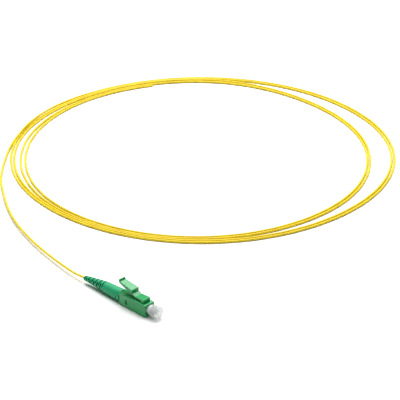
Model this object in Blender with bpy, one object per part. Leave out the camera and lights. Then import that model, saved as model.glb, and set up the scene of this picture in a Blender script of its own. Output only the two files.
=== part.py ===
# Fibre optic pigtail: a small latching connector with its boot and dust cap,
# on a long yellow buffered fibre that lies in a loose coil beside it.
# Metres, +Z up. +X runs along the connector towards the ferrule, and the
# origin is under the middle of the connector, on the surface it lies on.

import bpy
import bmesh
import numpy as np
from math import cos, exp, pi, radians, sin, tan
from mathutils import Vector

MM = 0.001

# Clearances
SEAM = 0.0003             # between two pieces that touch
BORE_SIDES = 28           # facets of a small bore
TURN_SIDES = 36           # facets of a turned piece
SMALL_EDGE = 0.2 * MM     # chamfer of a turned rim

# Housing
HOUSING_WIDTH = 4.5 * MM
HOUSING_HEIGHT = 4.6 * MM
HOUSING_LENGTH = 12.7 * MM
HOUSING_EDGE = 0.3 * MM
RECESS_DIAMETER = 3.6 * MM      # around the ferrule, open at the nose
RECESS_DEPTH = 3.2 * MM
SHOULDER = 0.5 * MM             # wall that the ferrule's collar is pushed against
WINDOW_LENGTH = 1.0 * MM
WINDOW_HEIGHT = 1.9 * MM
WINDOW_BACK = 9.1 * MM          # its middle, behind the nose

# Ferrule, collar and spring
FERRULE_DIAMETER = 1.25 * MM
FERRULE_REACH = 2.0 * MM        # in front of the nose
FERRULE_TAIL = 0.7 * MM         # behind the collar
FERRULE_TIP_ANGLE = radians(8)
FERRULE_CHAMFER = 0.15 * MM
FLANGE_DIAMETER = 2.8 * MM
FLANGE_LENGTH = 1.2 * MM
FERRULE_FLOAT = 0.4 * MM        # how far the ferrule can be pushed back
SPRING_WIRE = 0.34 * MM
SPRING_DIAMETER = 2.35 * MM     # at the middle of the wire
SPRING_TURNS = 4
SPRING_SIDES = 8
SPRING_STEPS = 16               # per turn

# Back post
POST_DIAMETER = 2.8 * MM
POST_BORE = 1.5 * MM
POST_FRONT = 8.2 * MM           # behind the nose
POST_STUB_DIAMETER = 2.4 * MM
POST_STUB_LENGTH = 4.0 * MM     # behind the housing, inside the boot
TAB_LENGTH = 0.4 * MM
TAB_HEIGHT = 1.2 * MM
TAB_REACH = 2.0 * MM            # from the axis

# Boot
BOOT_LENGTH = 19.5 * MM
BOOT_BASE_DIAMETER = 4.6 * MM
BOOT_NECK_DIAMETER = 3.9 * MM   # where the ribs begin
BOOT_TIP_DIAMETER = 1.8 * MM
BOOT_BARREL = 9.2 * MM
BOOT_GROOVES = 12
BOOT_GROOVE_LENGTH = 0.42 * MM
BOOT_GROOVE_DEPTH = 0.28 * MM
BOOT_GROOVE_SLOPE = 0.05 * MM   # of a groove's walls
BOOT_DROOP = 0.35 * MM          # how far its weight and the fibre's bend its tip down
BOOT_SWAY = 0.55 * MM           # how far the fibre bends its tip towards -Y
BOOT_BEND_FROM = 5.0 * MM       # behind its base

# Dust cap
CAP_INSERT = 2.2 * MM           # of the stem inside the recess
CAP_NECK = 2.5 * MM             # of the stem in front of the nose
CAP_HEAD_LENGTH = 1.9 * MM
CAP_HEAD_DIAMETER = 4.5 * MM
CAP_DISH_DIAMETER = 2.5 * MM
CAP_DISH_DEPTH = 0.6 * MM
CAP_END_WALL = 0.6 * MM         # behind the dish, in front of the ferrule's bore
CAP_CORE = 0.2 * MM             # vent through that wall

# Latch, seen from the side: heights above the housing's top, lengths behind the nose
LATCH_WIDTH = 3.0 * MM
LATCH_FRONT = 1.15 * MM
LATCH_FOOT = 1.3 * MM           # length of the root on the housing
LATCH_BLOCK_LENGTH = 4.15 * MM
LATCH_BLOCK_HEIGHT = 1.5 * MM
LATCH_BLOCK_FALL = 0.25 * MM    # of the block's top, from front to back
LATCH_BLOCK_GAP = 0.85 * MM     # under the back of the block
LATCH_RISER_BACK = 7.15 * MM
LATCH_RISER_LEAN = 0.35 * MM
LATCH_RISER_FOOT = 1.8 * MM
LATCH_KNEE_BACK = 8.25 * MM     # where the underside turns up behind the riser
LATCH_KNEE_DROP = 0.3 * MM      # below the riser's foot
LATCH_TAIL_HEIGHT = 3.0 * MM
LATCH_TAIL_BACK = 13.45 * MM
LATCH_TAIL_RISE = 0.85 * MM
LATCH_WEB_BACK = 10.2 * MM
LATCH_WEB_THICKNESS = 1.3 * MM
LATCH_LIP_FRONT = 0.4 * MM      # in front of the tail's back
LATCH_LIP_HEIGHT = 0.65 * MM
LATCH_LIP_LENGTH = 0.5 * MM
LATCH_LIP_LEAN = 0.25 * MM
LATCH_THICKNESS = 0.65 * MM     # at the tail's back
LATCH_EDGE = 0.12 * MM

# Fibre
FIBRE_DIAMETER = 0.9 * MM
COIL_CENTRE = (-62.6 * MM, 102.8 * MM)
COIL_START = -137.0             # degrees, where the lead joins the first turn; the turns run clockwise
COIL_SWEEP = 1505.0             # degrees, all the turns to the fibre's cut end
COIL_MARKS_PER_TURN = 8
COIL_RADII = (                  # mm, where the turns pass the marks
    76.9, 76.6, 76.2, 76.4, 77.2, 75.9, 76.3, 76.1,
    76.9, 75.6, 75.1, 74.8, 76.0, 74.5, 75.0, 75.0,
    75.6, 74.5, 73.9, 67.7, 67.3, 70.2, 73.6, 73.8,
    72.9, 72.5, 71.7, 66.4, 66.2, 68.8, 72.2, 72.2,
    71.0, 71.3, 70.6, 68.0,
)
JOIN_SWING = 1.3                # mm, how far out the lead is where it joins the first turn
JOIN_EASE = 6.0                 # degrees
HUMP = 0.8 * MM                 # the first turn's rise over the one that it crosses
HUMP_FROM = -18.0               # degrees after the start
HUMP_TO = 58.0
COIL_MARGIN = 0.1 * MM
COIL_EDGE = 0.3 * MM            # chamfer of the coil's solid
COIL_SEGMENTS = 120
COIL_SEAM = 0.1                 # degrees, between the last segment and the step in the ring

# The loose stretch of fibre, mm, from behind the boot to just before the first turn. The
# boot holds up one end and the turn that it crosses the other, and it sags between them.
LEAD_ROUTE = (
    (-21.0, -0.65, 1.85),
    (-24.0, -0.55, 1.73),
    (-30.0, 0.25, 1.56),
    (-37.1, 1.45, 1.42),
    (-47.3, 3.5, 1.3),
    (-58.3, 6.5, 1.22),
    (-70.0, 10.8, 1.12),
    (-76.2, 13.8, 1.06),
    (-82.4, 17.2, 1.0),
    (-90.8, 22.5, 0.92),
    (-99.3, 28.4, 0.84),
    (-107.0, 35.3, 0.78),
    (-113.7, 42.4, 0.76),
)
LEAD_POINTS = 60
CURVE_STEPS = 40                # between two points of the route

AXIS_Z = HOUSING_HEIGHT / 2
BOOT_GAP_END = HOUSING_LENGTH + SEAM
CAP_REACH = CAP_NECK + CAP_HEAD_LENGTH
CONNECTOR_LENGTH = BOOT_GAP_END + BOOT_LENGTH + CAP_REACH
NOSE_X = CONNECTOR_LENGTH / 2 - CAP_REACH


def clear_scene():
    for item in list(bpy.data.objects):
        bpy.data.objects.remove(item, do_unlink=True)


def material(name, colour, roughness, metallic=0.0, alpha=1.0):
    found = bpy.data.materials.get(name)
    if found:
        return found
    made = bpy.data.materials.new(name)
    made.use_nodes = True
    shader = made.node_tree.nodes["Principled BSDF"]
    shader.inputs["Base Color"].default_value = (*colour, 1.0)
    shader.inputs["Roughness"].default_value = roughness
    shader.inputs["Metallic"].default_value = metallic
    shader.inputs["Alpha"].default_value = alpha
    return made


def add_object(name, mesh, finish, location=(0.0, 0.0, 0.0)):
    item = bpy.data.objects.new(name, mesh)
    item.location = location
    if finish:
        mesh.materials.append(finish)
    bpy.context.collection.objects.link(item)
    return item


def mesh_from(bm, name):
    bmesh.ops.recalc_face_normals(bm, faces=bm.faces)
    mesh = bpy.data.meshes.new(name)
    bm.to_mesh(mesh)
    bm.free()
    return mesh


def box_mesh(name, low, high):
    bm = bmesh.new()
    bmesh.ops.create_cube(bm, size=1.0)
    centre = (Vector(low) + Vector(high)) / 2
    size = Vector(high) - Vector(low)
    for v in bm.verts:
        v.co = Vector((v.co.x * size.x, v.co.y * size.y, v.co.z * size.z)) + centre
    return mesh_from(bm, name)


def turned_mesh(name, profile, sides):
    # profile: (x, radius) points of a closed outline, turned about the X axis
    bm = bmesh.new()
    rings = []
    for x, radius in profile:
        ring = [bm.verts.new((x, radius * cos(2 * pi * k / sides), radius * sin(2 * pi * k / sides)))
                for k in range(sides)]
        rings.append(ring)
    for a, b in zip(rings, rings[1:] + rings[:1]):
        for k in range(sides):
            bm.faces.new((a[k], a[(k + 1) % sides], b[(k + 1) % sides], b[k]))
    return mesh_from(bm, name)


def rod_mesh(name, profile, sides):
    # profile: (x, radius) points of a solid rod, turned about the X axis, flat at both ends
    bm = bmesh.new()
    rings = []
    for x, radius in profile:
        ring = [bm.verts.new((x, radius * cos(2 * pi * k / sides), radius * sin(2 * pi * k / sides)))
                for k in range(sides)]
        rings.append(ring)
    for a, b in zip(rings, rings[1:]):
        for k in range(sides):
            bm.faces.new((a[k], a[(k + 1) % sides], b[(k + 1) % sides], b[k]))
    bm.faces.new(rings[0])
    bm.faces.new(rings[-1])
    return mesh_from(bm, name)


def plate_mesh(name, outline, half_width):
    # outline: (x, z) points, extruded to both sides of the XZ plane
    bm = bmesh.new()
    near = [bm.verts.new((x, -half_width, z)) for x, z in outline]
    far = [bm.verts.new((x, half_width, z)) for x, z in outline]
    bm.faces.new(near)
    bm.faces.new(list(reversed(far)))
    for k in range(len(outline)):
        j = (k + 1) % len(outline)
        bm.faces.new((near[k], far[k], far[j], near[j]))
    return mesh_from(bm, name)


def smooth(item):
    item.data.shade_smooth()
    item.data.set_sharp_from_angle(angle=radians(35))


def cut(item, cutter):
    cutter.hide_render = True
    cutter.display_type = "WIRE"
    boolean = item.modifiers.new("cut_" + cutter.name, "BOOLEAN")
    boolean.operation = "DIFFERENCE"
    boolean.solver = "EXACT"
    boolean.object = cutter


def join_to(item, other):
    other.hide_render = True
    other.display_type = "WIRE"
    boolean = item.modifiers.new("add_" + other.name, "BOOLEAN")
    boolean.operation = "UNION"
    boolean.solver = "EXACT"
    boolean.object = other


def on_axis(name, mesh, finish):
    # a piece turned about the connector's axis, with x measured from the nose
    return add_object(name, mesh, finish, (NOSE_X, 0.0, AXIS_Z))


def shoulder_back():
    return RECESS_DEPTH + SHOULDER


def passage_diameter():
    return FERRULE_DIAMETER + 2 * SEAM


def cavity_diameter():
    return max(FLANGE_DIAMETER, POST_DIAMETER) + 2 * SEAM


def flange_front():
    return shoulder_back() + SEAM


def flange_back():
    return flange_front() + FLANGE_LENGTH


def make_housing(green):
    half = HOUSING_WIDTH / 2
    body = add_object("housing", box_mesh("housing", (-HOUSING_LENGTH, -half, -AXIS_Z),
                                          (0.0, half, AXIS_Z)), green, (NOSE_X, 0.0, AXIS_Z))
    edges = body.modifiers.new("edges", "BEVEL")
    edges.width = HOUSING_EDGE
    edges.segments = 2
    overrun = HOUSING_WIDTH
    bores = (
        ("recess_cutter", overrun, -RECESS_DEPTH, RECESS_DIAMETER),
        ("passage_cutter", overrun, -HOUSING_LENGTH - overrun, passage_diameter()),
        ("cavity_cutter", -shoulder_back(), -HOUSING_LENGTH - overrun, cavity_diameter()),
    )
    for name, front, back, diameter in bores:
        profile = ((back, diameter / 2), (front, diameter / 2))
        cut(body, on_axis(name, rod_mesh(name, profile, BORE_SIDES), None))
    low = (-WINDOW_BACK - WINDOW_LENGTH / 2, -overrun, -WINDOW_HEIGHT / 2)
    high = (-WINDOW_BACK + WINDOW_LENGTH / 2, overrun, WINDOW_HEIGHT / 2)
    cut(body, on_axis("window_cutter", box_mesh("window_cutter", low, high), None))
    smooth(body)


def latch_outline():
    # x from the nose, z from the housing's top
    front = -LATCH_FRONT
    foot = SEAM
    block_back = front - LATCH_BLOCK_LENGTH
    tail_back = -LATCH_TAIL_BACK
    lip_foot = LATCH_TAIL_HEIGHT + LATCH_TAIL_RISE
    lip_top = lip_foot + LATCH_LIP_HEIGHT
    lip_front = tail_back + LATCH_LIP_FRONT - LATCH_LIP_LEAN
    slope = LATCH_TAIL_RISE / (LATCH_TAIL_BACK - LATCH_LIP_FRONT - LATCH_RISER_BACK)
    web_top = LATCH_TAIL_HEIGHT + slope * (LATCH_WEB_BACK - LATCH_RISER_BACK)
    return (
        (front, foot),
        (front, LATCH_BLOCK_HEIGHT),
        (block_back, LATCH_BLOCK_HEIGHT - LATCH_BLOCK_FALL),
        (-LATCH_RISER_BACK + LATCH_RISER_LEAN, LATCH_RISER_FOOT),
        (-LATCH_RISER_BACK, LATCH_TAIL_HEIGHT),
        (tail_back + LATCH_LIP_FRONT, lip_foot),
        (lip_front, lip_top),
        (lip_front - LATCH_LIP_LENGTH, lip_top),
        (tail_back, lip_foot - LATCH_THICKNESS),
        (-LATCH_WEB_BACK, web_top - LATCH_WEB_THICKNESS),
        (-LATCH_KNEE_BACK, LATCH_RISER_FOOT - LATCH_KNEE_DROP),
        (block_back, LATCH_BLOCK_GAP),
        (front - LATCH_FOOT, foot),
    )


def make_latch(green):
    # the latch turns about its root, so its origin is there
    root_x = NOSE_X - LATCH_FRONT - LATCH_FOOT / 2
    root_z = HOUSING_HEIGHT + SEAM + LATCH_BLOCK_HEIGHT / 4
    outline = [(x + NOSE_X - root_x, z + HOUSING_HEIGHT - root_z) for x, z in latch_outline()]
    latch = add_object("latch", plate_mesh("latch", outline, LATCH_WIDTH / 2), green,
                       (root_x, 0.0, root_z))
    edges = latch.modifiers.new("edges", "BEVEL")
    edges.width = LATCH_EDGE
    edges.segments = 1
    smooth(latch)


def make_ferrule(ceramic):
    radius = FERRULE_DIAMETER / 2
    front = FERRULE_REACH
    back = -(flange_back() + FERRULE_TAIL)
    chamfer = FERRULE_CHAMFER
    slope = tan(FERRULE_TIP_ANGLE)
    profile = ((back, radius - chamfer), (back + chamfer, radius), (front - 2 * chamfer, radius),
               (front, radius - chamfer))
    mesh = rod_mesh("ferrule", profile, BORE_SIDES)
    for v in mesh.vertices:
        if v.co.x > front - chamfer:
            v.co.x += slope * (v.co.z - radius)
    smooth(on_axis("ferrule", mesh, ceramic))


def make_flange(steel):
    inner = FERRULE_DIAMETER / 2 + SEAM
    outer = FLANGE_DIAMETER / 2
    front = -flange_front()
    back = -flange_back()
    profile = ((front, inner), (front, outer - SMALL_EDGE), (front - SMALL_EDGE, outer), (back, outer),
               (back, inner))
    smooth(on_axis("ferrule_flange", turned_mesh("ferrule_flange", profile, BORE_SIDES), steel))


def make_spring(steel):
    # one closed wire, wound between the collar's pushed-back place and the post
    front = -(flange_back() + FERRULE_FLOAT + SEAM + SPRING_WIRE / 2)
    back = -(POST_FRONT - SEAM - SPRING_WIRE / 2)
    steps = SPRING_TURNS * SPRING_STEPS
    bm = bmesh.new()
    rings = []
    for step in range(steps + 1):
        turn = 2 * pi * step / SPRING_STEPS
        x = front + (back - front) * step / steps
        centre = Vector((x, SPRING_DIAMETER / 2 * cos(turn), SPRING_DIAMETER / 2 * sin(turn)))
        outward = Vector((0.0, cos(turn), sin(turn)))
        ring = []
        for k in range(SPRING_SIDES):
            around = 2 * pi * k / SPRING_SIDES
            offset = outward * cos(around) + Vector((1.0, 0.0, 0.0)) * sin(around)
            ring.append(bm.verts.new(centre + offset * SPRING_WIRE / 2))
        rings.append(ring)
    for a, b in zip(rings, rings[1:]):
        for k in range(SPRING_SIDES):
            bm.faces.new((a[k], a[(k + 1) % SPRING_SIDES], b[(k + 1) % SPRING_SIDES], b[k]))
    bm.faces.new(rings[0])
    bm.faces.new(rings[-1])
    smooth(on_axis("ferrule_spring", mesh_from(bm, "ferrule_spring"), steel))


def make_post(green):
    inner = POST_BORE / 2
    outer = POST_DIAMETER / 2
    stub = POST_STUB_DIAMETER / 2
    front = -POST_FRONT
    step = -(HOUSING_LENGTH - SEAM)
    back = -(HOUSING_LENGTH + POST_STUB_LENGTH)
    profile = ((front, inner), (front, outer), (step, outer), (step, stub), (back, stub), (back, inner))
    post = on_axis("back_post", turned_mesh("back_post", profile, BORE_SIDES), green)
    for side, name in ((-1, "near_tab"), (1, "far_tab")):
        reach = sorted((side * TAB_REACH, side * (inner + outer) / 2))
        low = (-WINDOW_BACK - TAB_LENGTH / 2, reach[0], -TAB_HEIGHT / 2)
        high = (-WINDOW_BACK + TAB_LENGTH / 2, reach[1], TAB_HEIGHT / 2)
        join_to(post, on_axis(name, box_mesh(name, low, high), None))
    smooth(post)


def boot_radius(u):
    # u: distance behind the boot's base
    if u < BOOT_BARREL:
        share = u / BOOT_BARREL
        return (BOOT_BASE_DIAMETER + (BOOT_NECK_DIAMETER - BOOT_BASE_DIAMETER) * share) / 2
    share = (u - BOOT_BARREL) / (BOOT_LENGTH - BOOT_BARREL)
    return (BOOT_NECK_DIAMETER + (BOOT_TIP_DIAMETER - BOOT_NECK_DIAMETER) * share) / 2


def boot_bend(u):
    # the share of its tip's droop and sway
    return max((u - BOOT_BEND_FROM) / (BOOT_LENGTH - BOOT_BEND_FROM), 0.0) ** 2


def make_boot(green):
    base = -BOOT_GAP_END
    fibre_bore = FIBRE_DIAMETER / 2 + SEAM
    stub_bore = POST_STUB_DIAMETER / 2 + SEAM
    socket = POST_STUB_LENGTH + SEAM
    outer = [(base, boot_radius(0.0) - SMALL_EDGE), (base - SMALL_EDGE, boot_radius(SMALL_EDGE)),
             (base - BOOT_BARREL, boot_radius(BOOT_BARREL))]
    pitch = (BOOT_LENGTH - BOOT_BARREL) / BOOT_GROOVES
    half = BOOT_GROOVE_LENGTH / 2
    for groove in range(BOOT_GROOVES):
        middle = BOOT_BARREL + (groove + 0.5) * pitch
        depth = min(BOOT_GROOVE_DEPTH, (boot_radius(middle) - fibre_bore) / 2)
        for u, sunk in ((middle - half, 0.0), (middle - half + BOOT_GROOVE_SLOPE, depth),
                        (middle + half - BOOT_GROOVE_SLOPE, depth), (middle + half, 0.0)):
            outer.append((base - u, boot_radius(u) - sunk))
    outer.append((base - BOOT_LENGTH, boot_radius(BOOT_LENGTH)))
    inner = [(base - BOOT_LENGTH, fibre_bore), (base - socket - SEAM, fibre_bore),
             (base - socket, stub_bore), (base, stub_bore)]
    mesh = turned_mesh("boot", outer + inner, TURN_SIDES)
    for v in mesh.vertices:
        bend = boot_bend(base - v.co.x)
        v.co.y -= BOOT_SWAY * bend
        v.co.z -= BOOT_DROOP * bend
    smooth(on_axis("boot", mesh, green))


def make_cap(clear):
    stem = RECESS_DIAMETER / 2 - SEAM
    bore = FERRULE_DIAMETER / 2 + SEAM
    head = CAP_HEAD_DIAMETER / 2
    dish = CAP_DISH_DIAMETER / 2
    edge = SMALL_EDGE
    bore_end = CAP_REACH - CAP_DISH_DEPTH - CAP_END_WALL
    core = CAP_CORE / 2
    profile = (
        (-CAP_INSERT, bore), (-CAP_INSERT, stem - edge), (-CAP_INSERT + edge, stem), (CAP_NECK, stem),
        (CAP_NECK, head - edge), (CAP_NECK + edge, head), (CAP_REACH - edge, head),
        (CAP_REACH, head - edge), (CAP_REACH, dish), (CAP_REACH - CAP_DISH_DEPTH, dish - edge),
        (CAP_REACH - CAP_DISH_DEPTH, core), (bore_end, core), (bore_end, bore),
    )
    smooth(on_axis("dust_cap", turned_mesh("dust_cap", profile, TURN_SIDES), clear))


def turn_radius(degrees):
    # a smooth curve through the marks; degrees: clockwise from the start, over all the turns
    along = degrees * COIL_MARKS_PER_TURN / 360.0
    k = int(along)
    t = along - k
    a, b, c, d = (COIL_RADII[min(max(k + j, 0), len(COIL_RADII) - 1)] for j in (-1, 0, 1, 2))
    bend = 2 * a - 5 * b + 4 * c - d
    radius = (2 * b + (c - a) * t + bend * t ** 2 + (3 * b - a - 3 * c + d) * t ** 3) / 2
    return (radius + JOIN_SWING * exp(-degrees / JOIN_EASE)) * MM


def coil_band(along):
    # the fibre's last stretch runs on inside the start of the turn before it
    turns = 1 + int((COIL_SWEEP - along) / 360.0)
    radii = [turn_radius(along + 360.0 * turn) for turn in range(turns)]
    reach = FIBRE_DIAMETER / 2 + COIL_MARGIN
    return min(radii) - reach, max(radii) + reach


def coil_height(along):
    # the hump lies on both sides of the start
    height = FIBRE_DIAMETER + COIL_MARGIN
    for degrees in (along, along - 360.0):
        share = (degrees - HUMP_FROM) / (HUMP_TO - HUMP_FROM)
        if 0.0 < share < 1.0:
            height += HUMP * sin(pi * share) ** 2
    return height


def make_coil(yellow):
    # the outer shape of all the turns: a ring whose inner and outer edges follow them,
    # with a step where the lead comes in on the outside
    bm = bmesh.new()
    rings = []
    edge = COIL_EDGE
    stops = [360.0 * step / COIL_SEGMENTS for step in range(COIL_SEGMENTS)] + [360.0 - COIL_SEAM]
    for along in stops:
        inner, outer = coil_band(along)
        height = coil_height(along)
        angle = radians(COIL_START - along)
        section = ((inner + edge, 0.0), (outer - edge, 0.0), (outer, edge), (outer, height - edge),
                   (outer - edge, height), (inner + edge, height), (inner, height - edge), (inner, edge))
        rings.append([bm.verts.new((radius * cos(angle), radius * sin(angle), z)) for radius, z in section])
    for a, b in zip(rings, rings[1:] + rings[:1]):
        for k in range(len(a)):
            j = (k + 1) % len(a)
            bm.faces.new((a[k], a[j], b[j], b[k]))
    smooth(add_object("fibre_coil", mesh_from(bm, "fibre_coil"), yellow, (*COIL_CENTRE, 0.0)))


def lead_end():
    # face to face with the step in the ring, where the first turn starts
    radius = turn_radius(0.0)
    angle = radians(COIL_START) + SEAM / radius
    x, y = COIL_CENTRE
    return (x + radius * cos(angle), y + radius * sin(angle), LEAD_ROUTE[-1][2] * MM)


def smooth_curve(points, count):
    # evenly spaced points on a smooth curve through the given ones
    points = np.array(points, dtype=float)
    before = 2 * points[0] - points[1]
    after = 2 * points[-1] - points[-2]
    run = np.vstack((before, points, after))
    dense = []
    for k in range(1, len(run) - 2):
        p0, p1, p2, p3 = run[k - 1:k + 3]
        for t in np.linspace(0.0, 1.0, CURVE_STEPS, endpoint=False):
            dense.append(0.5 * (2 * p1 + (p2 - p0) * t + (2 * p0 - 5 * p1 + 4 * p2 - p3) * t ** 2
                                + (3 * p1 - p0 - 3 * p2 + p3) * t ** 3))
    dense.append(run[-2])
    dense = np.array(dense)
    reach = np.concatenate(([0.0], np.cumsum(np.linalg.norm(np.diff(dense, axis=0), axis=1))))
    even = np.linspace(0.0, reach[-1], count)
    return np.column_stack([np.interp(even, reach, dense[:, axis]) for axis in range(3)])


def make_lead(yellow):
    tip = (NOSE_X - BOOT_GAP_END - BOOT_LENGTH - SEAM, -BOOT_SWAY, AXIS_Z - BOOT_DROOP)
    route = [tip] + [(x * MM, y * MM, z * MM) for x, y, z in LEAD_ROUTE] + [lead_end()]
    points = smooth_curve(route, LEAD_POINTS)
    curve = bpy.data.curves.new("fibre_lead", "CURVE")
    curve.dimensions = "3D"
    curve.bevel_depth = FIBRE_DIAMETER / 2
    curve.bevel_resolution = 2
    curve.use_fill_caps = True
    spline = curve.splines.new("POLY")
    spline.points.add(len(points) - 1)
    for point, place in zip(spline.points, points):
        point.co = (*place, 1.0)
    curve.materials.append(yellow)
    item = bpy.data.objects.new("fibre_lead", curve)
    bpy.context.collection.objects.link(item)


clear_scene()
green = material("green_moulding", (0.06, 0.27, 0.12), 0.4)
rubber = material("green_rubber", (0.03, 0.33, 0.17), 0.5)
ceramic = material("white_ceramic", (0.85, 0.85, 0.82), 0.2)
steel = material("bright_steel", (0.6, 0.6, 0.6), 0.3, 1.0)
clear = material("clear_white", (0.75, 0.78, 0.76), 0.3)
yellow = material("yellow_buffer", (0.95, 0.68, 0.05), 0.4)
make_housing(green)
make_latch(green)
make_ferrule(ceramic)
make_flange(steel)
make_spring(steel)
make_post(green)
make_boot(rubber)
make_cap(clear)
make_lead(yellow)
make_coil(yellow)
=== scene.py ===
from math import cos, exp, pi, radians, sin, tan
import bpy
import bmesh
from mathutils import Matrix, Vector


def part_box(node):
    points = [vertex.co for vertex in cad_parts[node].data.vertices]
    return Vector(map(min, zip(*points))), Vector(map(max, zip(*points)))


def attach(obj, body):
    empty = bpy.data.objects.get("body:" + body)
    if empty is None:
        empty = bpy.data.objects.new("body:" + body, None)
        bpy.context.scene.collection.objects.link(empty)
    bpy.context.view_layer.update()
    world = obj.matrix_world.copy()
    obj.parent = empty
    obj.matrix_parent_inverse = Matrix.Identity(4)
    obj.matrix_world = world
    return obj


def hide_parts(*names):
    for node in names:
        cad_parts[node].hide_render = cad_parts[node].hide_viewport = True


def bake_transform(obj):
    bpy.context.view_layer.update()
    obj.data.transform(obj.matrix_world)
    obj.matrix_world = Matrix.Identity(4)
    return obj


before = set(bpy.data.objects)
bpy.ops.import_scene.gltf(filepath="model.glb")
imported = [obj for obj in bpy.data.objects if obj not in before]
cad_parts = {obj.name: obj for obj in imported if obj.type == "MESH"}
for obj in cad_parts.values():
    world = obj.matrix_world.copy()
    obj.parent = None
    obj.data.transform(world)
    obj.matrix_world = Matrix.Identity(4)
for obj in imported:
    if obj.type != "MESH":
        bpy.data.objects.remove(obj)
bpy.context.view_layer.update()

# A fibre optic pigtail: a small green connector with a clear dust cap and a rubber boot,
# and two metres of yellow fibre coiled on the floor beside it. Metres, +X out of the nose.

mm = 0.001
scene = bpy.context.scene

housingLow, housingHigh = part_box("housing")
noseX = housingHigh.x
housingBack = noseX - housingLow.x      # behind the nose
housingTop = housingHigh.z
axisZ = (housingLow.z + housingHigh.z) / 2


# Camera

camera = {
    "place": (0.3729, -0.33795, 0.29653),
    "turn": (62.842, 0.0, 44.747),      # degrees
    "lens": 153.0,
    "sensor": 36.0,
}


def setCamera():
    view = bpy.data.cameras.new("camera")
    view.lens = camera["lens"]
    view.sensor_width = camera["sensor"]
    view.clip_start = 0.01
    item = bpy.data.objects.new("camera", view)
    item.location = camera["place"]
    item.rotation_euler = [radians(angle) for angle in camera["turn"]]
    scene.collection.objects.link(item)
    scene.camera = item


# Materials

class Wire:
    # one output socket; a sum written on it becomes Math nodes
    def __init__(self, paint, socket):
        self.paint = paint
        self.socket = socket

    def __add__(self, other):
        return self.paint.maths("ADD", self, other)

    def __sub__(self, other):
        return self.paint.maths("SUBTRACT", self, other)

    def __rsub__(self, other):
        return self.paint.maths("SUBTRACT", other, self)

    def __mul__(self, other):
        return self.paint.maths("MULTIPLY", self, other)

    def __gt__(self, other):
        return self.paint.maths("GREATER_THAN", self, other)

    def __lt__(self, other):
        return self.paint.maths("LESS_THAN", self, other)

    __radd__ = __add__
    __rmul__ = __mul__


class Paint:
    # one material, built round its Principled shader
    def __init__(self, name, constants):
        self.material = bpy.data.materials.new(name)
        self.material.use_nodes = True
        self.tree = self.material.node_tree
        self.shader = self.tree.nodes["Principled BSDF"]
        self.feed(self.shader, constants)

    def feed(self, node, inputs):
        for name, value in inputs.items():
            if isinstance(value, Wire):
                self.tree.links.new(value.socket, node.inputs[name])
            else:
                node.inputs[name].default_value = value

    def node(self, kind, settings, inputs, output=0):
        made = self.tree.nodes.new(kind)
        for name, value in settings.items():
            setattr(made, name, value)
        self.feed(made, inputs)
        return Wire(self, made.outputs[output])

    def maths(self, operation, first, second=0.0):
        return self.node("ShaderNodeMath", {"operation": operation}, {0: first, 1: second})

    def places(self):
        return self.node("ShaderNodeTexCoord", {}, {}, "Object")

    def axes(self, vector):
        outputs = self.node("ShaderNodeSeparateXYZ", {}, {"Vector": vector}).socket.node.outputs
        return [Wire(self, socket) for socket in outputs]

    def noise(self, vector, grain, detail, roughness=0.5):
        # grain: the size of one spot, in metres
        return self.node("ShaderNodeTexNoise", {}, {
            "Vector": vector, "Scale": 1.0 / grain, "Detail": detail, "Roughness": roughness})

    def ramp(self, factor, low, high):
        return self.node("ShaderNodeMapRange", {"interpolation_type": "SMOOTHSTEP"},
                         {"Value": factor, "From Min": low, "From Max": high})

    def mix(self, factor, first, second):
        return self.node("ShaderNodeMix", {"data_type": "RGBA"}, {0: factor, 6: first, 7: second}, 2)

    def bump(self, height, depth):
        return self.node("ShaderNodeBump", {}, {"Strength": 1.0, "Distance": depth, "Height": height})


def shade(colour, factor):
    return (*[min(channel * factor, 1.0) for channel in colour], 1.0)


greenMoulding = {
    "colour": (0.014, 0.33, 0.092),
    "paleEdgeSheen": (0.06, 0.36, 0.15),
    "wearAndSheen": 0.45,                   # how far the softened edges go towards it, as wear and as a painted highlight
    "grain": 0.12 * mm,
    "cloud": 2.5 * mm,
    "roughness": 0.16,
    "postPaintedShade": 0.4,                # of the colour, painted shade on the plug, of which only the shaded tabs show
}


def makeGreenMoulding(name, tone):
    paint = Paint(name, {"IOR": 1.5, "Specular IOR Level": 0.4})
    where = paint.places()
    cloud = paint.noise(where, greenMoulding["cloud"], 3.0)
    speck = paint.noise(where, greenMoulding["grain"], 2.0)
    colour = paint.mix(cloud, shade(greenMoulding["colour"], 0.86 * tone),
                       shade(greenMoulding["colour"], 1.14 * tone))
    edge = paint.node("ShaderNodeAttribute", {"attribute_name": "edge"}, {}, "Fac")
    # wear and painted highlight: the softened edges are drawn paler, in patches
    wornAndSheen = edge * greenMoulding["wearAndSheen"] * paint.ramp(speck, 0.3, 0.7)
    colour = paint.mix(wornAndSheen, colour, (*greenMoulding["paleEdgeSheen"], 1.0))
    paint.feed(paint.shader, {
        "Base Color": colour,
        "Roughness": greenMoulding["roughness"] + cloud * 0.08 + speck * 0.06 - edge * 0.08,
        "Normal": paint.bump(speck + cloud * 2.0, 0.004 * mm),
    })
    return paint.material


bootRubber = {
    "colour": (0.014, 0.36, 0.15),
    "paintedSlotShade": 0.12,              # painted shade, as a share of the colour, on the slots' walls and in the bore
    "grain": 0.09 * mm,
    "cloud": 3.0 * mm,
    "roughness": 0.42,
}


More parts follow.
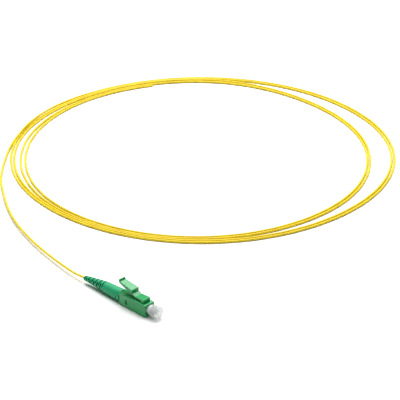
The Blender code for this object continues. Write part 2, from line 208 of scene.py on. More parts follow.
def makeBootRubber():
    paint = Paint("bootRubber", {"IOR": 1.5, "Specular IOR Level": 0.28})
    where = paint.places()
    cloud = paint.noise(where, bootRubber["cloud"], 3.0)
    speck = paint.noise(where, bootRubber["grain"], 3.0, 0.6)
    colour = paint.mix(cloud, shade(bootRubber["colour"], 0.85), shade(bootRubber["colour"], 1.15))
    inside = paint.node("ShaderNodeAttribute", {"attribute_name": "inside"}, {}, "Fac")
    # painted shade where the "inside" attribute is set: slot walls, bore, notch and liner
    colour = paint.mix(inside, colour, shade(bootRubber["colour"], bootRubber["paintedSlotShade"]))
    paint.feed(paint.shader, {
        "Base Color": colour,
        "Roughness": bootRubber["roughness"] + cloud * 0.1 + speck * 0.08,
        "Normal": paint.bump(speck + cloud * 1.5, 0.006 * mm),
    })
    return paint.material


capPlastic = {
    "colour": (0.67, 0.70, 0.68),
    "cloud": 1.2 * mm,
    "grain": 0.15 * mm,
    "alpha": (0.42, 0.86),          # of the head, and of the stem round the ferrule
    "stemPaintedLight": 1.31,               # painted light: the stem's colour, as a share of the head's colour
    "stemSpan": (0.8 * mm, 2.4 * mm),   # in front of the nose, where the stem's look turns into the head's
    "roughness": 0.3,
}


def makeCapPlastic():
    paint = Paint("capPlastic", {
        "IOR": 1.46, "Transmission Weight": 0.15, "Subsurface Weight": 0.25,
        "Subsurface Radius": (1.0, 1.0, 1.0), "Subsurface Scale": 0.8 * mm})
    where = paint.places()
    cloud = paint.noise(where, capPlastic["cloud"], 3.0)
    speck = paint.noise(where, capPlastic["grain"], 2.0)
    start, end = capPlastic["stemSpan"]
    stem = 1.0 - paint.ramp(paint.axes(where)[0], noseX + start, noseX + end)
    headAlpha, stemAlpha = capPlastic["alpha"]
    colour = paint.mix(cloud, shade(capPlastic["colour"], 0.94), shade(capPlastic["colour"], 1.04))
    paint.feed(paint.shader, {
        # painted light: the stem is drawn lighter than the head
        "Base Color": paint.mix(stem, colour, shade(capPlastic["colour"], capPlastic["stemPaintedLight"])),
        "Alpha": headAlpha + stem * (stemAlpha - headAlpha),
        "Roughness": capPlastic["roughness"] + cloud * 0.14,
        "Normal": paint.bump(speck + cloud * 2.0, 0.004 * mm),
    })
    return paint.material


fibreYellow = {
    "colour": (0.87, 0.68, 0.012),
    "deep": (0.778, 0.572, 0.0086),
    "core": (0.85, 0.86, 0.84),     # the coated glass, which shows where the fibre is cut
    "coreRadius": 0.125 * mm,
    "cloud": 6.0 * mm,
    "grain": 0.1 * mm,
    "roughness": 0.34,
}


def makeFibreYellow(cutEnd):
    paint = Paint("fibreYellow", {
        "IOR": 1.5, "Specular IOR Level": 0.3, "Subsurface Weight": 0.15,
        "Subsurface Radius": (1.0, 0.7, 0.2), "Subsurface Scale": 0.3 * mm})
    where = paint.places()
    cloud = paint.noise(where, fibreYellow["cloud"], 3.0)
    speck = paint.noise(where, fibreYellow["grain"], 2.0)
    colour = paint.mix(paint.ramp(cloud, 0.25, 0.75), (*fibreYellow["deep"], 1.0),
                       (*fibreYellow["colour"], 1.0))
    fromEnd = paint.node("ShaderNodeVectorMath", {"operation": "DISTANCE"}, {0: where, 1: cutEnd}, "Value")
    colour = paint.mix(fromEnd < fibreYellow["coreRadius"], colour, (*fibreYellow["core"], 1.0))
    paint.feed(paint.shader, {
        "Base Color": colour,
        "Roughness": fibreYellow["roughness"] + speck * 0.1,
        "Normal": paint.bump(speck, 0.003 * mm),
    })
    return paint.material


zirconia = {
    "colour": (0.86, 0.87, 0.84),
    "core": (0.35, 0.40, 0.45),     # the fibre's glass, in the middle of the front end
    "coreRadius": 0.0625 * mm,
    "coreFrom": 1.0 * mm,           # in front of the nose
    "grain": 0.05 * mm,
    "roughness": 0.12,
}


def makeZirconia():
    paint = Paint("zirconia", {
        "IOR": 2.1, "Subsurface Weight": 0.2,
        "Subsurface Radius": (1.0, 0.9, 0.8), "Subsurface Scale": 0.3 * mm})
    where = paint.places()
    across, along, height = paint.axes(where)
    height = height - axisZ
    fromAxis = paint.maths("SQRT", along * along + height * height)
    core = (fromAxis < zirconia["coreRadius"]) * (across > noseX + zirconia["coreFrom"])
    speck = paint.noise(where, zirconia["grain"], 2.0)
    paint.feed(paint.shader, {
        "Base Color": paint.mix(core, (*zirconia["colour"], 1.0), (*zirconia["core"], 1.0)),
        "Roughness": zirconia["roughness"] + speck * 0.08,
        "Normal": paint.bump(speck, 0.001 * mm),
    })
    return paint.material


steel = {
    "colour": (0.62, 0.61, 0.59),
    "lathe": 0.05 * mm,             # the pitch of the turning marks
    "smear": 0.6 * mm,
    "roughness": 0.22,
}


def makeSteel():
    paint = Paint("steel", {"Metallic": 1.0})
    where = paint.places()
    stretched = paint.node("ShaderNodeMapping", {}, {"Vector": where, "Scale": (1.0, 0.08, 0.08)})
    rings = paint.noise(stretched, steel["lathe"], 2.0)
    smear = paint.noise(where, steel["smear"], 2.0)
    paint.feed(paint.shader, {
        "Base Color": paint.mix(smear, shade(steel["colour"], 0.88), shade(steel["colour"], 1.1)),
        "Roughness": steel["roughness"] + smear * 0.16,
        "Normal": paint.bump(rings, 0.002 * mm),
    })
    return paint.material


# Shared shape makers

def addPiece(name, mesh, material):
    mesh.materials.clear()
    mesh.materials.append(material)
    piece = bpy.data.objects.new(name, mesh)
    scene.collection.objects.link(piece)
    return piece


def meshFrom(bm, name):
    bmesh.ops.remove_doubles(bm, verts=bm.verts, dist=0.0005 * mm)
    bmesh.ops.recalc_face_normals(bm, faces=bm.faces)
    mesh = bpy.data.meshes.new(name)
    bm.to_mesh(mesh)
    bm.free()
    return mesh


def settle(piece):
    # what the modifiers make becomes the piece's own mesh
    graph = bpy.context.evaluated_depsgraph_get()
    mesh = bpy.data.meshes.new_from_object(piece.evaluated_get(graph))
    piece.modifiers.clear()
    piece.data = mesh


def smoothByAngle(mesh, angle=32.0):
    mesh.shade_smooth()
    mesh.set_sharp_from_angle(angle=radians(angle))


def softenEdges(piece, width, segments=3, angle=40.0):
    bevel = piece.modifiers.new("softEdges", "BEVEL")
    bevel.width = width
    bevel.segments = segments
    bevel.limit_method = "ANGLE"
    bevel.angle_limit = radians(angle)


def keepFlat(piece):
    # faces between rounded edges are shaded flat right up to the rounding
    piece.data.shade_smooth()
    weighted = piece.modifiers.new("flatFaces", "WEIGHTED_NORMAL")
    weighted.mode = "FACE_AREA"
    weighted.weight = 80


def markEdges(mesh, widest=0.09 * mm):
    # the "edge" attribute is 1 on the narrow faces of softened edges, for a trace of wear and a painted
    # highlight
    mask = mesh.attributes.new("edge", "FLOAT", "FACE")
    for face in mesh.polygons:
        corners = [mesh.vertices[k].co for k in face.vertices]
        around = sum((a - b).length for a, b in zip(corners, corners[1:] + corners[:1]))
        mask.data[face.index].value = 1.0 if 2.0 * face.area < widest * around else 0.0


def rounded(corners, steps):
    # corners: (x, y, radius) round a closed outline; each corner becomes a short curve
    points = []
    count = len(corners)
    for k in range(count):
        here = Vector(corners[k][:2])
        if corners[k][2] == 0:
            points.append(here)
            continue
        toBefore = Vector(corners[k - 1][:2]) - here
        toAfter = Vector(corners[(k + 1) % count][:2]) - here
        reach = corners[k][2] / tan(toBefore.angle(toAfter) / 2)
        reach = min(reach, 0.48 * toBefore.length, 0.48 * toAfter.length)
        start = here + toBefore.normalized() * reach
        end = here + toAfter.normalized() * reach
        for step in range(steps + 1):
            t = step / steps
            points.append(start * (1 - t) ** 2 + here * 2 * t * (1 - t) + end * t * t)
    return points


def turned(name, outline, sides, behind=True):
    # outline: (distance from the nose, radius) round a closed section, turned about the axis
    sign = -1.0 if behind else 1.0
    bm = bmesh.new()
    rings = []
    for reach, radius in outline:
        rings.append([bm.verts.new((noseX + sign * reach, radius * cos(2 * pi * k / sides),
                                    axisZ + radius * sin(2 * pi * k / sides))) for k in range(sides)])
    for a, b in zip(rings, rings[1:] + rings[:1]):
        for k in range(sides):
            bm.faces.new((a[k], a[(k + 1) % sides], b[(k + 1) % sides], b[k]))
    return meshFrom(bm, name)


def boxMesh(name, low, high):
    bm = bmesh.new()
    bmesh.ops.create_cube(bm, size=1.0)
    for v in bm.verts:
        v.co = Vector([low[k] + (high[k] - low[k]) * (v.co[k] + 0.5) for k in range(3)])
    return meshFrom(bm, name)


def addNode(tree, kind, settings, inputs):
    made = tree.nodes.new(kind)
    for name, value in settings.items():
        setattr(made, name, value)
    for name, value in inputs.items():
        if isinstance(value, bpy.types.NodeSocket):
            tree.links.new(value, made.inputs[name])
        else:
            made.inputs[name].default_value = value
    return made


def newTree(name, sockets):
    # sockets: the inputs besides the geometry, each with its kind
    tree = bpy.data.node_groups.new(name, "GeometryNodeTree")
    tree.interface.new_socket("Geometry", in_out="INPUT", socket_type="NodeSocketGeometry")
    for label, kind in sockets.items():
        tree.interface.new_socket(label, in_out="INPUT", socket_type="NodeSocket" + kind)
    tree.interface.new_socket("Geometry", in_out="OUTPUT", socket_type="NodeSocketGeometry")
    return tree, addNode(tree, "NodeGroupInput", {}, {}).outputs


def closeTree(tree, shape, material):
    whole = addNode(tree, "GeometryNodeRealizeInstances", {}, {"Geometry": shape})
    dressed = addNode(tree, "GeometryNodeSetMaterial", {}, {
        "Geometry": whole.outputs[0], "Material": material})
    addNode(tree, "NodeGroupOutput", {}, {"Geometry": dressed.outputs[0]})
    return tree


def runTree(piece, tree, values):
    # a modifier's inputs are set by the identifiers of their sockets
    modifier = piece.modifiers.new(tree.name, "NODES")
    modifier.node_group = tree
    for item in tree.interface.items_tree:
        if item.in_out == "INPUT" and item.name in values:
            modifier[item.identifier] = values[item.name]


def cutAway(piece, cutters):
    for cutter in cutters:
        boolean = piece.modifiers.new("cut", "BOOLEAN")
        boolean.operation = "DIFFERENCE"
        boolean.solver = "EXACT"
        boolean.object = cutter


def drop(items):
    for item in items:
        bpy.data.objects.remove(item, do_unlink=True)


# The fibre, one free cord from the boot to its cut end in the coil

fibre = {
    "diameter": 0.9 * mm,
    "length": 2.05,
    "leadPoints": (             # mm, from the boot's tip to the coil
        (-18.15, -0.5, 1.98), (-18.75, -0.55, 1.95), (-21.0, -0.65, 1.85), (-24.0, -0.55, 1.73),
        (-30.0, 0.25, 1.56), (-37.1, 1.45, 1.42), (-47.3, 3.5, 1.3), (-58.3, 6.5, 1.22),
        (-70.0, 10.8, 1.12), (-76.2, 13.8, 1.06), (-82.4, 17.2, 1.0), (-90.8, 22.5, 0.92),
        (-99.3, 28.4, 0.84), (-107.0, 35.3, 0.78), (-113.7, 42.4, 0.76),
    ),
    "coilCentre": (-62.6, 102.8),   # mm
    "coilStart": -137.0,        # degrees; the turns run clockwise from here
    "markAngle": 45.0,          # degrees, between two marks
    "turnRadii": (              # mm, where each turn passes the marks round the coil
        (76.9, 76.6, 76.2, 76.4, 77.2, 75.9, 76.3, 76.1),
        (76.9, 75.6, 75.1, 74.8, 76.0, 74.5, 75.0, 75.0),
        (75.6, 74.5, 73.9, 67.7, 67.3, 70.2, 73.6, 73.8),
        (72.9, 72.5, 71.7, 66.4, 66.2, 68.8, 72.2, 72.2),
        (71.0, 71.3, 70.6, 68.0, 67.0, 68.0),
    ),
    "stepsPerTurn": 36,
    "joinSwing": 1.3,           # mm, how far out the fibre is where it joins the first turn
    "joinEase": 6.0,            # degrees
    "floorHeight": 0.46,        # mm, of the fibre's middle
    "hump": 0.8,                # mm, the lead's rise over the turn that it crosses
    "humpSpan": (-18.0, 58.0),  # degrees after the start
}


def coilPoint(degrees):
    # the radius runs smoothly through the marks
    marks = [radius for turn in fibre["turnRadii"] for radius in turn]
    along = degrees / fibre["markAngle"]
    k = int(along)
    t = along - k
    a, b, c, d = (marks[min(max(k + j, 0), len(marks) - 1)] for j in (-1, 0, 1, 2))
    bend, twist = 2 * a - 5 * b + 4 * c - d, 3 * b - a - 3 * c + d
    radius = 0.5 * (2 * b + (c - a) * t + bend * t ** 2 + twist * t ** 3)
    radius += fibre["joinSwing"] * exp(-degrees / fibre["joinEase"])
    angle = radians(fibre["coilStart"] - degrees)
    x, y = fibre["coilCentre"]
    return Vector((x + radius * cos(angle), y + radius * sin(angle),
                   fibre["floorHeight"] + humpHeight(degrees))) * mm


def humpHeight(degrees):
    low, high = fibre["humpSpan"]
    share = (degrees - low) / (high - low)
    return fibre["hump"] * sin(pi * share) ** 2 if 0.0 < share < 1.0 else 0.0


def fibreRoute():
    points = [Vector(point) * mm for point in fibre["leadPoints"]]
    length = sum((b - a).length for a, b in zip(points, points[1:]))
    degrees = 0.0
    step = 360.0 / fibre["stepsPerTurn"]
    while True:
        point = coilPoint(degrees)
        stretch = point - points[-1]
        if length + stretch.length > fibre["length"]:
            points.append(points[-1] + stretch * ((fibre["length"] - length) / stretch.length))
            return points
        length += stretch.length
        points.append(point)
        degrees += step


def makeFibre():
    points = fibreRoute()
    curve = bpy.data.curves.new("fibre", "CURVE")
    curve.dimensions = "3D"
    curve.bevel_depth = fibre["diameter"] / 2
    curve.bevel_resolution = 3
    curve.resolution_u = 5
    curve.use_fill_caps = True
    spline = curve.splines.new("BEZIER")
    spline.bezier_points.add(len(points) - 1)
    for knot, point in zip(spline.bezier_points, points):
        knot.co = point
        knot.handle_left_type = knot.handle_right_type = "AUTO"
    curve.materials.append(makeFibreYellow(points[-1]))
    piece = bpy.data.objects.new("fibre", curve)
    scene.collection.objects.link(piece)
    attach(piece, "connector")
    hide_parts("fibre_lead", "fibre_coil")
    print("fibre:", len(points), "points")


# Housing

housing = {
    "corner": 0.32 * mm,
    "lowerCorner": 0.15 * mm,
    "endEase": 0.16 * mm,       # how far the two ends are rounded in
    "endSteps": 4,
    "recess": 3.6 * mm,         # the bore round the ferrule, in the nose
    "recessDepth": 3.2 * mm,
    "passage": 1.9 * mm,        # the narrow bore that stops the ferrule's collar
    "cavity": 3.4 * mm,         # the bore behind it, for the spring and the plug
    "cavityFront": 3.7 * mm,
    "pastEnd": 2.0 * mm,        # how far a cutter reaches past the end that it opens
    "window": (0.8 * mm, 1.7 * mm),     # length and height
    "windowReach": 4.0 * mm,    # of its cutter, past both sides
    "windowBack": 9.25 * mm,    # behind the nose
    "windowDrop": 0.1 * mm,     # of its middle, below the axis
    "rimSoftness": 0.05 * mm,
}


def housingSection(inset):
    half = (housingHigh.y - housingLow.y) / 2 - inset
    top = housingTop - inset
    bottom = inset
    upper, lower = housing["corner"], housing["lowerCorner"]
    return rounded([(half, bottom, lower), (half, top, upper),
                    (-half, top, upper), (-half, bottom, lower)], 6)


def makeHousing(material):
    ease = housing["endEase"]
    back = noseX - housingBack
    angles = [pi / 2 * k / housing["endSteps"] for k in range(housing["endSteps"] + 1)]
    stations = []                           # along X, and how far the section is drawn in there
    for angle in angles:
        stations.append((noseX - ease * (1 - cos(angle)), ease * (1 - sin(angle))))
    for angle in angles:
        stations.append((back + ease * (1 - sin(angle)), ease * (1 - cos(angle))))
    bm = bmesh.new()
    rings = []
    for x, inset in stations:
        rings.append([bm.verts.new((x, point.x, point.y)) for point in housingSection(inset)])
    sides = len(rings[0])
    for a, b in zip(rings, rings[1:]):
        for k in range(sides):
            bm.faces.new((a[k], a[(k + 1) % sides], b[(k + 1) % sides], b[k]))
    bm.faces.new(rings[0])
    bm.faces.new(rings[-1])
    piece = addPiece("housing_shell", meshFrom(bm, "housing_shell"), material)
    length, height = housing["window"]
    cutters = []
    for name, front, end, diameter in (
            ("recessCut", -housing["pastEnd"], housing["recessDepth"], housing["recess"]),
            ("passageCut", -housing["pastEnd"], housingBack + housing["pastEnd"], housing["passage"]),
            ("cavityCut", housing["cavityFront"], housingBack + housing["pastEnd"], housing["cavity"])):
        outline = [(front, 0.0), (front, diameter / 2), (end, diameter / 2), (end, 0.0)]
        cutters.append(addPiece(name, turned(name, outline, 64), material))
    middle = noseX - housing["windowBack"]
    low = axisZ - housing["windowDrop"] - height / 2
    reach = housing["windowReach"]
    cutter = boxMesh("windowCut", (middle - length / 2, -reach, low),
                     (middle + length / 2, reach, low + height))
    cutters.append(addPiece("windowCut", cutter, material))
    cutAway(piece, cutters)
    softenEdges(piece, housing["rimSoftness"], 2, 50.0)
    settle(piece)
    smoothByAngle(piece.data)
    drop(cutters)
    markEdges(piece.data)
    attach(piece, "connector")
    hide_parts("housing")
    print("housing")


# Latch, one piece that grows out of the housing's top

latch = {
    "widths": ((1.15, 3.2), (5.3, 3.0), (7.2, 3.3), (13.8, 2.7)),   # mm: behind the nose, across
    "softness": 0.07 * mm,
    "outline": (                # mm: behind the nose, above the housing's top, corner radius
        (1.45, -0.1, 0.0), (1.15, 1.45, 0.42), (5.3, 1.2, 0.12), (6.95, 1.8, 0.1), (6.9, 3.0, 0.15),
        (13.05, 3.85, 0.12), (13.3, 4.5, 0.1), (13.8, 4.45, 0.12), (13.45, 3.2, 0.25),
        (10.2, 2.15, 1.0), (8.25, 1.5, 1.0), (5.3, 0.75, 0.6), (2.9, 0.55, 0.5), (2.45, -0.1, 0.0),
    ),
}


def latchHalfWidth(reach):
    # reach: mm behind the nose
    widths = latch["widths"]
    for (a, first), (b, second) in zip(widths, widths[1:]):
        if reach <= b:
            share = max((reach - a) / (b - a), 0.0)
            return (first + (second - first) * share) / 2 * mm
    return widths[-1][1] / 2 * mm


def makeLatch(material):
    outline = rounded(latch["outline"], 4)
    bm = bmesh.new()
    sides = []
    for sign in (-1, 1):
        sides.append([bm.verts.new((noseX - point.x * mm, sign * latchHalfWidth(point.x),
                                    housingTop + point.y * mm)) for point in outline])
    near, far = sides
    bm.faces.new(near)
    bm.faces.new(list(reversed(far)))
    for k in range(len(near)):
        j = (k + 1) % len(near)
        bm.faces.new((near[k], far[k], far[j], near[j]))
    piece = addPiece("latch_arm", meshFrom(bm, "latch_arm"), material)
    softenEdges(piece, latch["softness"], 3, 60.0)
    keepFlat(piece)
    settle(piece)
    markEdges(piece.data)
    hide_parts("latch")
    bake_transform(piece)
    print("latch")


# Boot

boot = {
    "droop": 0.35 * mm,         # how far its own weight and the fibre's bend its tip down
    "sway": 0.55 * mm,          # and towards -Y
    "bendFrom": 5.0 * mm,       # behind its base
    "baseGap": 0.3 * mm,
    "length": 18.9 * mm,
    "baseDiameter": 4.6 * mm,
    "neckDiameter": 3.9 * mm,
    "neckAt": 8.5 * mm,
    "tipDiameter": 1.8 * mm,
    "bore": 1.5 * mm,
    "socket": 3.0 * mm,
    "socketDepth": 4.3 * mm,
    "slots": 11,
    "pitch": 0.91 * mm,
    "slotLength": 0.44 * mm,
    "slotReach": 8.0 * mm,      # of a cutter, more than the boot is thick
    "sideBridge": 0.8 * mm,     # what a pair of slots from above and below leaves on the two sides
    "topBridge": 2.1 * mm,      # and a pair from the sides above and below
    "taper": 0.045,             # of the bridges, for each slot
    "notch": (0.35 * mm, 1.3 * mm),     # on each side near the base, length and height
    "notchAt": 1.5 * mm,        # behind the base
    "notchDrop": 0.5 * mm,      # of its middle, below the axis
    "notchDepth": 0.6 * mm,
    "tipMargin": 0.2 * mm,      # of the end, which doesn't get the slots' painted shade
    "sunkFrom": 0.25 * mm,      # below the surface, where the notch gets the slots' painted shade
    "sunkSpan": 2.0 * mm,       # behind the base
    "linerWall": 0.04 * mm,
    "softness": 0.03 * mm,
}


def slotTree():
    # cuts pairs of slots across a turned sleeve that lies along X
    tree, given = newTree("crossSlots", {
        "Slots": "Int", "First Slot": "Vector", "Pitch": "Float", "Slot Length": "Float", "Bridge": "Float",
        "Reach": "Float", "Turn": "Float", "Taper": "Float", "Material": "Material"})

    def add(kind, settings, inputs):
        return addNode(tree, kind, settings, inputs)

    step = add("ShaderNodeCombineXYZ", {}, {"X": add("ShaderNodeMath", {"operation": "MULTIPLY"},
               {0: given["Pitch"], 1: -1.0}).outputs[0]})
    row = add("GeometryNodeMeshLine", {}, {"Count": given["Slots"], "Start Location": given["First Slot"],
                                           "Offset": step.outputs[0]})
    size = add("ShaderNodeCombineXYZ", {}, {
        "X": given["Slot Length"], "Y": given["Reach"], "Z": given["Reach"]})
    cutter = add("GeometryNodeMeshCube", {}, {"Size": size.outputs[0]})
    lift = add("ShaderNodeMath", {"operation": "MULTIPLY"},
               {0: add("ShaderNodeMath", {"operation": "ADD"},
                       {0: given["Reach"], 1: given["Bridge"]}).outputs[0], 1: 0.5})
    pair = add("GeometryNodeJoinGeometry", {}, {})
    for sign in (1.0, -1.0):
        height = add("ShaderNodeMath", {"operation": "MULTIPLY"}, {0: lift.outputs[0], 1: sign})
        away = add("ShaderNodeCombineXYZ", {}, {"Z": height.outputs[0]})
        moved = add("GeometryNodeTransform", {}, {"Geometry": cutter.outputs["Mesh"],
                                                  "Translation": away.outputs[0]})
        tree.links.new(moved.outputs[0], pair.inputs[0])
    index = add("GeometryNodeInputIndex", {}, {})
    less = add("ShaderNodeMath", {"operation": "MULTIPLY"}, {0: index.outputs[0], 1: given["Taper"]})
    share = add("ShaderNodeMath", {"operation": "SUBTRACT"}, {0: 1.0, 1: less.outputs[0]})
    scale = add("ShaderNodeCombineXYZ", {}, {"X": 1.0, "Y": share.outputs[0], "Z": share.outputs[0]})
    turn = add("ShaderNodeCombineXYZ", {}, {"X": given["Turn"]})
    spread = add("GeometryNodeInstanceOnPoints", {}, {
        "Points": row.outputs["Mesh"], "Instance": pair.outputs[0], "Rotation": turn.outputs[0],
        "Scale": scale.outputs[0]})
    solid = add("GeometryNodeRealizeInstances", {}, {"Geometry": spread.outputs[0]})
    cut = add("GeometryNodeMeshBoolean", {"operation": "DIFFERENCE", "solver": "EXACT"},
              {"Mesh 1": given["Geometry"], "Mesh 2": solid.outputs[0]})
    return closeTree(tree, cut.outputs[0], given["Material"])


def bendBoot(mesh, base):
    for v in mesh.vertices:
        share = (noseX - base - v.co.x - boot["bendFrom"]) / (boot["length"] - boot["bendFrom"])
        v.co.y -= boot["sway"] * max(share, 0.0) ** 2
        v.co.z -= boot["droop"] * max(share, 0.0) ** 2


def markPaintedShade(mesh, base, tip):
    # the "inside" attribute is 1 on the walls of the slots, in the bore and in the notch, where the rubber
    # is given painted shade
    mask = mesh.attributes.new("inside", "FLOAT", "FACE")
    for face in mesh.polygons:
        reach = noseX - face.center.x
        fromAxis = Vector((face.center.y, face.center.z - axisZ))
        inBore = face.normal.y * fromAxis.x + face.normal.z * fromAxis.y < 0.0
        across = abs(face.normal.x) > 0.8 and reach < tip - boot["tipMargin"]
        sunk = fromAxis.length < boot["baseDiameter"] / 2 - boot["sunkFrom"]
        inNotch = sunk and reach < base + boot["sunkSpan"]
        mask.data[face.index].value = 1.0 if inBore or across or inNotch else 0.0


def makeBoot(material):
    base = housingBack + boot["baseGap"]
    tip = base + boot["length"]
    neck = base + boot["neckAt"]
    bore = boot["bore"] / 2
    pitch = boot["pitch"]
    outline = rounded([
        (base, boot["socket"] / 2, 0.1 * mm), (base, boot["baseDiameter"] / 2, 0.3 * mm),
        (neck, boot["neckDiameter"] / 2, 6.0 * mm), (tip, boot["tipDiameter"] / 2, 0.12 * mm),
        (tip, bore, 0.05 * mm), (base + boot["socketDepth"], bore, 0.0),
        (base + boot["socketDepth"], boot["socket"] / 2, 0.0)], 6)
    piece = addPiece("boot_sleeve", turned("boot_sleeve", outline, 72), material)
    tree = slotTree()
    for first, turn, bridge in ((0, 0.0, boot["sideBridge"]), (1, pi / 2, boot["topBridge"])):
        runTree(piece, tree, {
            "Slots": (boot["slots"] + 1 - first) // 2,
            "First Slot": (noseX - neck - pitch * (first + 0.5), 0.0, axisZ),
            "Pitch": 2 * pitch,
            "Slot Length": boot["slotLength"],
            "Bridge": bridge,
            "Reach": boot["slotReach"],
            "Turn": turn,
            "Taper": 2 * boot["taper"],
            "Material": material,
        })
    settle(piece)
    length, height = boot["notch"]
    middle = noseX - base - boot["notchAt"]
    low = axisZ - boot["notchDrop"] - height / 2
    cutters = []
    for sign in (-1, 1):
        inner, outer = boot["baseDiameter"] / 2 - boot["notchDepth"], boot["baseDiameter"]
        right, left = sorted((sign * inner, sign * outer))
        cutter = boxMesh("notchCut", (middle - length / 2, right, low),
                         (middle + length / 2, left, low + height))
        cutters.append(addPiece("notchCut", cutter, material))
    cutAway(piece, cutters)
    softenEdges(piece, boot["softness"], 2, 50.0)
    settle(piece)
    drop(cutters)
    smoothByAngle(piece.data)
    markPaintedShade(piece.data, base, tip)
    bendBoot(piece.data, base)
    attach(piece, "connector")
    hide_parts("boot")
    print("boot")


def makeShadeLiner(material):
    # the thin sleeve round the fibre inside the boot, which closes the slots from within; it is painted
    # dark all over as shade
    base = housingBack + boot["baseGap"]
    first, last = boot["socketDepth"] + 0.1 * mm, boot["length"] - 0.1 * mm
    stations = [first + (last - first) * k / 24 for k in range(25)]
    outline = [(base + reach, boot["bore"] / 2 + boot["linerWall"]) for reach in stations]
    outline += [(base + last, boot["bore"] / 2), (base + first, boot["bore"] / 2)]
    piece = addPiece("boot_shade_liner", turned("boot_shade_liner", outline, 28), material)
    smoothByAngle(piece.data)
    # painted shade over the whole liner
    mask = piece.data.attributes.new("inside", "FLOAT", "FACE")
    for face in piece.data.polygons:
        mask.data[face.index].value = 1.0
    bendBoot(piece.data, base)
    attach(piece, "connector")


# Dust cap

cap = {
    "lean": (4.0, 2.3),         # degrees: its front end sits a little high, and towards +Y
    "insert": 2.2 * mm,         # behind the nose
    "stem": 3.0 * mm,
    "flareFrom": 0.3 * mm,      # in front of the nose
    "flareLength": 0.3 * mm,
    "neck": 2.5 * mm,           # in front of the nose, where the head starts
    "neckDiameter": 3.5 * mm,
    "waist": 4.3 * mm,
    "shoulder": 0.5 * mm,
    "head": 4.5 * mm,
    "headLength": 1.9 * mm,
    "dish": 2.5 * mm,
    "dishDepth": 0.6 * mm,
    "dishSlope": 0.2 * mm,
    "bore": 1.85 * mm,
    "boreEnd": 3.2 * mm,
}


def makeCap(material):
    front = cap["neck"] + cap["headLength"]
    floor = front - cap["dishDepth"]
    outline = rounded([
        (-cap["insert"], cap["bore"] / 2, 0.08 * mm), (-cap["insert"], cap["stem"] / 2, 0.25 * mm),
        (cap["flareFrom"], cap["stem"] / 2, 0.15 * mm),
        (cap["flareFrom"] + cap["flareLength"], cap["neckDiameter"] / 2, 0.2 * mm),
        (cap["neck"], cap["waist"] / 2, 0.6 * mm),
        (cap["neck"] + cap["shoulder"], cap["head"] / 2, 0.3 * mm), (front, cap["head"] / 2, 0.35 * mm),
        (front, cap["dish"] / 2, 0.15 * mm),
        (floor, cap["dish"] / 2 - cap["dishSlope"], 0.25 * mm), (floor, 0.0, 0.0),
        (cap["boreEnd"], 0.0, 0.0), (cap["boreEnd"], cap["bore"] / 2, 0.15 * mm)], 5)
    piece = addPiece("cap_body", turned("cap_body", outline, 72, behind=False), material)
    smoothByAngle(piece.data)
    pivot = Vector((noseX - cap["insert"], 0.0, axisZ))
    rise, swing = (radians(angle) for angle in cap["lean"])
    lean = Matrix.Rotation(-rise, 4, "Y") @ Matrix.Rotation(swing, 4, "Z")
    piece.data.transform(Matrix.Translation(pivot) @ lean @ Matrix.Translation(-pivot))
    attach(piece, "dust_cap")
    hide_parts("dust_cap")
    print("dust cap")


# Ferrule and its spring

ferrule = {
    "diameter": 1.25 * mm,
    "reach": 2.0 * mm,          # in front of the nose
    "back": 5.9 * mm,           # behind it
    "tipAngle": 8.0,            # degrees, of the polished end
    "chamfer": 0.3 * mm,
    "chamferRise": 0.15 * mm,
    "bore": 0.125 * mm,
    "boreStop": 0.8 * mm,       # behind the front end
    "cone": 0.9 * mm,           # the bore's open end, at the back
}


def makeFerrule(material):
    radius = ferrule["diameter"] / 2
    front, back = -ferrule["reach"], ferrule["back"]
    outline = rounded([
        (front, 0.0, 0.0), (front, radius - ferrule["chamferRise"], 0.03 * mm),
        (front + ferrule["chamfer"], radius, 0.1 * mm),
        (back, radius, 0.1 * mm), (back, ferrule["cone"] / 2, 0.03 * mm),
        (back - ferrule["cone"], ferrule["bore"] / 2, 0.0),
        (front + ferrule["boreStop"], ferrule["bore"] / 2, 0.0),
        (front + ferrule["boreStop"], 0.0, 0.0)], 4)
    piece = addPiece("ferrule_rod", turned("ferrule_rod", outline, 64), material)
    slope = tan(radians(ferrule["tipAngle"]))
    for v in piece.data.vertices:
        if v.co.x > noseX - front - ferrule["chamfer"] / 2:
            v.co.x += slope * (v.co.z - axisZ - radius)
    smoothByAngle(piece.data, 24.0)
    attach(piece, "ferrule")
    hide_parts("ferrule")
    print("ferrule")


spring = {
    "wire": 0.34 * mm,
    "diameter": 2.35 * mm,
    "front": 6.07 * mm,         # behind the nose
    "back": 7.73 * mm,
    "turns": 4.0,
}


def springTree():
    # a wire wound along X from the tree's origin
    tree, given = newTree("woundWire", {
        "Turns": "Float", "Radius": "Float", "Length": "Float", "Wire Radius": "Float", "Place": "Vector",
        "Material": "Material"})
    spiral = addNode(tree, "GeometryNodeCurveSpiral", {}, {
        "Resolution": 40, "Rotations": given["Turns"], "Start Radius": given["Radius"],
        "End Radius": given["Radius"], "Height": given["Length"]})
    ring = addNode(tree, "GeometryNodeCurvePrimitiveCircle", {}, {
        "Resolution": 14, "Radius": given["Wire Radius"]})
    wound = addNode(tree, "GeometryNodeCurveToMesh", {}, {
        "Curve": spiral.outputs[0], "Profile Curve": ring.outputs[0], "Fill Caps": True})
    laid = addNode(tree, "GeometryNodeTransform", {}, {
        "Geometry": wound.outputs[0], "Translation": given["Place"], "Rotation": (0.0, -pi / 2, 0.0)})
    return closeTree(tree, laid.outputs[0], given["Material"])


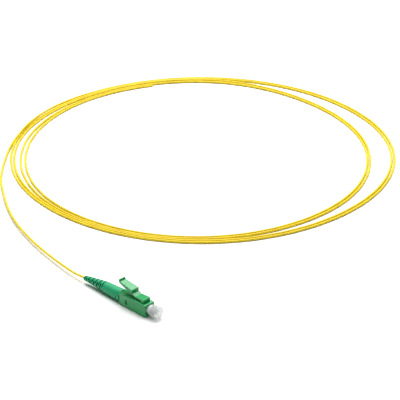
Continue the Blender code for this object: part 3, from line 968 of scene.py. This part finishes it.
def makeSpring(material):
    piece = addPiece("spring_wire", bpy.data.meshes.new("spring_wire"), material)
    runTree(piece, springTree(), {
        "Turns": spring["turns"],
        "Radius": spring["diameter"] / 2,
        "Length": spring["back"] - spring["front"],
        "Wire Radius": spring["wire"] / 2,
        "Place": (noseX - spring["front"], 0.0, axisZ),
        "Material": material,
    })
    settle(piece)
    smoothByAngle(piece.data, 50.0)
    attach(piece, "connector")
    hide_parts("ferrule_spring")
    print("spring")


# Studio

studio = {
    "floorSize": 4.0,
    "floorTones": (0.9, 0.91),
    "skyStrength": 0.12,
    "keyDirection": (-0.31, 0.31, 0.9),
    "keyDistance": 1.2,
    "keyDiameter": 1.36,
    "keyPower": 29.0,
}


def makeKeyLight():
    lamp = bpy.data.lights.new("key", "AREA")
    lamp.shape = "DISK"
    lamp.size = studio["keyDiameter"]
    lamp.energy = studio["keyPower"]
    item = bpy.data.objects.new("key", lamp)
    toLamp = Vector(studio["keyDirection"]).normalized()
    item.location = toLamp * studio["keyDistance"]
    item.rotation_euler = toLamp.to_track_quat("Z", "Y").to_euler()
    scene.collection.objects.link(item)


def makeStudio():
    half = studio["floorSize"] / 2
    mesh = bpy.data.meshes.new("floor")
    corners = [(-half, -half, 0), (half, -half, 0), (half, half, 0), (-half, half, 0)]
    mesh.from_pydata(corners, [], [(0, 1, 2, 3)])
    paint = Paint("floorPaper", {"Roughness": 0.9, "Specular IOR Level": 0.1})
    tone = paint.noise(paint.places(), 30.0 * mm, 2.0)
    low, high = (shade((1.0, 1.0, 1.0), level) for level in studio["floorTones"])
    paint.feed(paint.shader, {"Base Color": paint.mix(tone, low, high)})
    addPiece("floor", mesh, paint.material)
    world = bpy.data.worlds.new("studio")
    world.use_nodes = True
    world.node_tree.nodes["Background"].inputs["Strength"].default_value = studio["skyStrength"]
    world.node_tree.nodes["Background"].inputs["Color"].default_value = (1.0, 1.0, 1.0, 1.0)
    scene.world = world
    makeKeyLight()
    scene.view_settings.view_transform = "Standard"
    print("studio")


setCamera()
makeStudio()
moulding = makeGreenMoulding("greenMoulding", 1.0)
# painted shade: the plug behind the windows is the same green moulding, drawn darker
postShadedMoulding = makeGreenMoulding("postShadedMoulding", greenMoulding["postPaintedShade"])
makeFibre()
makeHousing(moulding)
makeLatch(moulding)
rubber = makeBootRubber()
makeBoot(rubber)
makeShadeLiner(rubber)
makeCap(makeCapPlastic())
makeFerrule(makeZirconia())
steelFinish = makeSteel()
makeSpring(steelFinish)
for node, finish in (("ferrule_flange", steelFinish), ("back_post", postShadedMoulding)):
    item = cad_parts[node]
    item.data.materials.clear()
    item.data.materials.append(finish)
